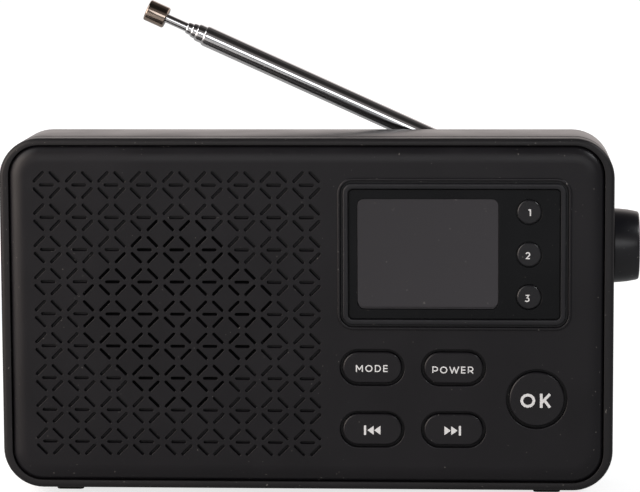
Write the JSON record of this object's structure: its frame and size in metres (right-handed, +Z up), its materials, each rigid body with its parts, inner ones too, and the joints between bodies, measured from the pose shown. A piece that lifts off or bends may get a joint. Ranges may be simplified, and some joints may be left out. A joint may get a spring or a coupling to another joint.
{
  "type": "tabletop radio",
  "caption": "Portable tabletop radio with a slotted speaker grille, small screen, push buttons, a side knob and a folding telescopic antenna.",
  "frame": {"origin": "middle of the object's box in plan, on the plane the feet stand on", "axes": "+Z up, front with the grille and screen faces -Y, +X towards the side knob"},
  "size_m": [0.1888, 0.045, 0.1456],
  "materials": {
    "case_plastic": "fine even texture, satin black",
    "key_plastic": "smooth satin black",
    "lens_plastic": "smooth black behind a clear face",
    "screen": "switched off, dark grey",
    "chrome_plate": "bright plating",
    "steel": "plain",
    "rubber_black": "matt",
    "board_laminate": "green solder mask",
    "component_black": "moulded black",
    "ferrite": "plain grey",
    "cone_paper": "pressed black paper",
    "cell_can": "blue film over a metal can",
    "wire_sheath": "red"
  },
  "bodies": {
    "radio_case": {"front_bezel": "case_plastic", "front_panel": "case_plastic", "rear_cabinet": "case_plastic", "foot_front_left": "rubber_black", "foot_front_right": "rubber_black", "foot_rear_left": "rubber_black", "foot_rear_right": "rubber_black", "case_screw_top_left": "steel", "case_screw_top_right": "steel", "case_screw_bottom_left": "steel", "case_screw_bottom_right": "steel", "display_frame": "case_plastic", "display_lens": "lens_plastic", "lcd_module": "screen", "key_board": "board_laminate", "main_board": "board_laminate", "tuner_module": "steel", "headphone_socket": "component_black", "usb_socket": "steel", "grille_cloth": "cone_paper", "speaker_basket": "steel", "speaker_magnet": "ferrite", "speaker_cone": "cone_paper", "speaker_lead": "wire_sheath", "encoder_body": "steel", "antenna_socket": "chrome_plate", "antenna_lead": "component_black", "battery_cell": "cell_can", "battery_spring": "steel", "battery_contact": "steel", "switch_mode": "component_black", "switch_power": "component_black", "switch_previous": "component_black", "switch_next": "component_black", "switch_ok": "component_black", "switch_preset_1": "component_black", "switch_preset_2": "component_black", "switch_preset_3": "component_black"},
    "volume_knob": {"side_knob": "key_plastic", "encoder_shaft": "steel"},
    "antenna_base": {"antenna_swivel": "chrome_plate", "antenna_pin": "steel"},
    "antenna_section_1": {"antenna_tube_1": "chrome_plate"},
    "antenna_section_2": {"antenna_tube_2": "chrome_plate"},
    "antenna_section_3": {"antenna_tube_3": "chrome_plate"},
    "antenna_section_4": {"antenna_tube_4": "chrome_plate"},
    "antenna_section_5": {"antenna_rod": "chrome_plate", "antenna_tip": "chrome_plate"},
    "battery_cover": {"battery_door": "case_plastic"},
    "key_mode": {"button_mode": "key_plastic"},
    "key_power": {"button_power": "key_plastic"},
    "key_previous": {"button_previous": "key_plastic"},
    "key_next": {"button_next": "key_plastic"},
    "key_ok": {"button_ok": "key_plastic"},
    "key_preset_1": {"button_preset_1": "key_plastic"},
    "key_preset_2": {"button_preset_2": "key_plastic"},
    "key_preset_3": {"button_preset_3": "key_plastic"}
  },
  "joints": [
    {"name": "knob_turn", "type": "hinge", "parent": "radio_case", "child": "volume_knob", "pos_m": [0.091, -0.00103, 0.0732], "axis": [1, 0, 0], "continuous": true},
    {"name": "antenna_swing", "type": "hinge", "parent": "radio_case", "child": "antenna_base", "pos_m": [0.06, 0.01922, 0.09095], "axis": [0, 1, 0], "range_deg": [-24.4, 155.6]},
    {"name": "antenna_tilt", "type": "hinge", "parent": "antenna_base", "child": "antenna_section_1", "pos_m": [0.06, 0.01922, 0.09095], "axis": [-0.4131, 0, -0.9107], "range_deg": [0, 90]},
    {"name": "antenna_slide_2", "type": "slide", "parent": "antenna_section_1", "child": "antenna_section_2", "axis": [-0.9107, 0, 0.4131], "range_m": [0, 0.088]},
    {"name": "antenna_slide_3", "type": "slide", "parent": "antenna_section_2", "child": "antenna_section_3", "axis": [-0.9107, 0, 0.4131], "range_m": [0, 0.088]},
    {"name": "antenna_slide_4", "type": "slide", "parent": "antenna_section_3", "child": "antenna_section_4", "axis": [-0.9107, 0, 0.4131], "range_m": [0, 0.088]},
    {"name": "antenna_slide_5", "type": "slide", "parent": "antenna_section_4", "child": "antenna_section_5", "axis": [-0.9107, 0, 0.4131], "range_m": [-0.006, 0.082]},
    {"name": "battery_cover_swing", "type": "hinge", "parent": "radio_case", "child": "battery_cover", "pos_m": [-0.0043, 0.02007, 0.0279], "axis": [0, 0, 1], "range_deg": [0, 100]},
    {"name": "press_mode", "type": "slide", "parent": "radio_case", "child": "key_mode", "axis": [0, 1, 0], "range_m": [0, 0.0005], "stiffness_N_per_m": 800, "springref_m": -0.0005},
    {"name": "press_power", "type": "slide", "parent": "radio_case", "child": "key_power", "axis": [0, 1, 0], "range_m": [0, 0.0005], "stiffness_N_per_m": 800, "springref_m": -0.0005},
    {"name": "press_previous", "type": "slide", "parent": "radio_case", "child": "key_previous", "axis": [0, 1, 0], "range_m": [0, 0.0005], "stiffness_N_per_m": 800, "springref_m": -0.0005},
    {"name": "press_next", "type": "slide", "parent": "radio_case", "child": "key_next", "axis": [0, 1, 0], "range_m": [0, 0.0005], "stiffness_N_per_m": 800, "springref_m": -0.0005},
    {"name": "press_ok", "type": "slide", "parent": "radio_case", "child": "key_ok", "axis": [0, 1, 0], "range_m": [0, 0.0005], "stiffness_N_per_m": 800, "springref_m": -0.0005},
    {"name": "press_preset_1", "type": "slide", "parent": "radio_case", "child": "key_preset_1", "axis": [0, 1, 0], "range_m": [0, 0.0005], "stiffness_N_per_m": 800, "springref_m": -0.0005},
    {"name": "press_preset_2", "type": "slide", "parent": "radio_case", "child": "key_preset_2", "axis": [0, 1, 0], "range_m": [0, 0.0005], "stiffness_N_per_m": 800, "springref_m": -0.0005},
    {"name": "press_preset_3", "type": "slide", "parent": "radio_case", "child": "key_preset_3", "axis": [0, 1, 0], "range_m": [0, 0.0005], "stiffness_N_per_m": 800, "springref_m": -0.0005}
  ]
}
